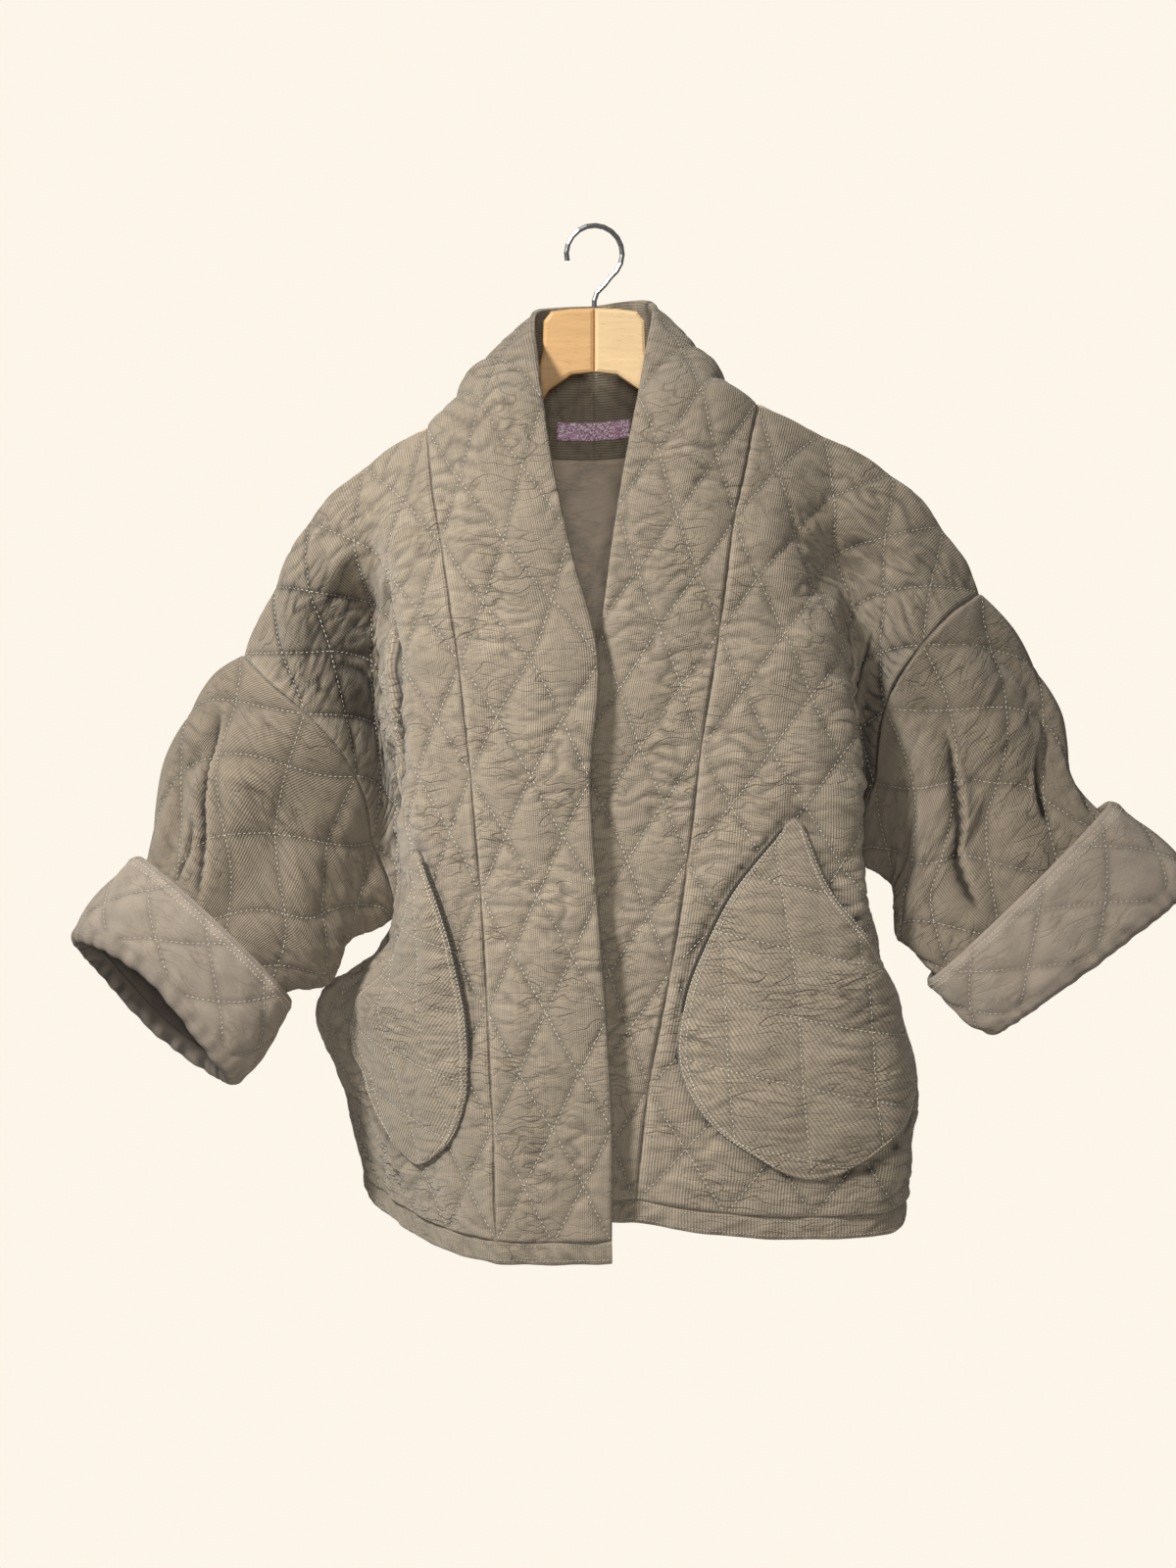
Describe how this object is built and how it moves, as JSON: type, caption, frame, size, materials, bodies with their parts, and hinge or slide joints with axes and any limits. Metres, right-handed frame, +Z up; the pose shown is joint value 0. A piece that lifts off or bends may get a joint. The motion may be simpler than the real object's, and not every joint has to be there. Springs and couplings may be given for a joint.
{
  "type": "kimono coat on a hanger",
  "caption": "Quilted needlecord kimono coat with turned-up cuffs and drop-shaped pockets, hanging open on a wooden hanger with a steel hook.",
  "frame": {"origin": "inside top of the hanger's hook, where it bears on a rail", "axes": "+Z up out of the hook, front of the coat towards -Y, the wearer's left towards +X"},
  "size_m": [0.8985, 0.2233, 0.8204],
  "materials": {
    "needlecord": "fine needlecord, washed and quilted",
    "lining": "plain smooth cotton",
    "label": "bare woven strip with a metallic thread",
    "beech": "satin lacquer",
    "steel": "polished wire"
  },
  "bodies": {
    "root": {"right_front": "needlecord", "left_front": "needlecord", "back": "needlecord", "right_band": "needlecord", "left_band": "needlecord", "right_sleeve": "needlecord", "left_sleeve": "needlecord", "right_hem": "needlecord", "left_hem": "needlecord", "back_hem": "needlecord", "right_cuff": "lining", "left_cuff": "lining", "right_pocket": "needlecord", "left_pocket": "needlecord", "label": "label", "hanger_right_half": "beech", "hanger_left_half": "beech", "hook": "steel"}
  },
  "joints": []
}
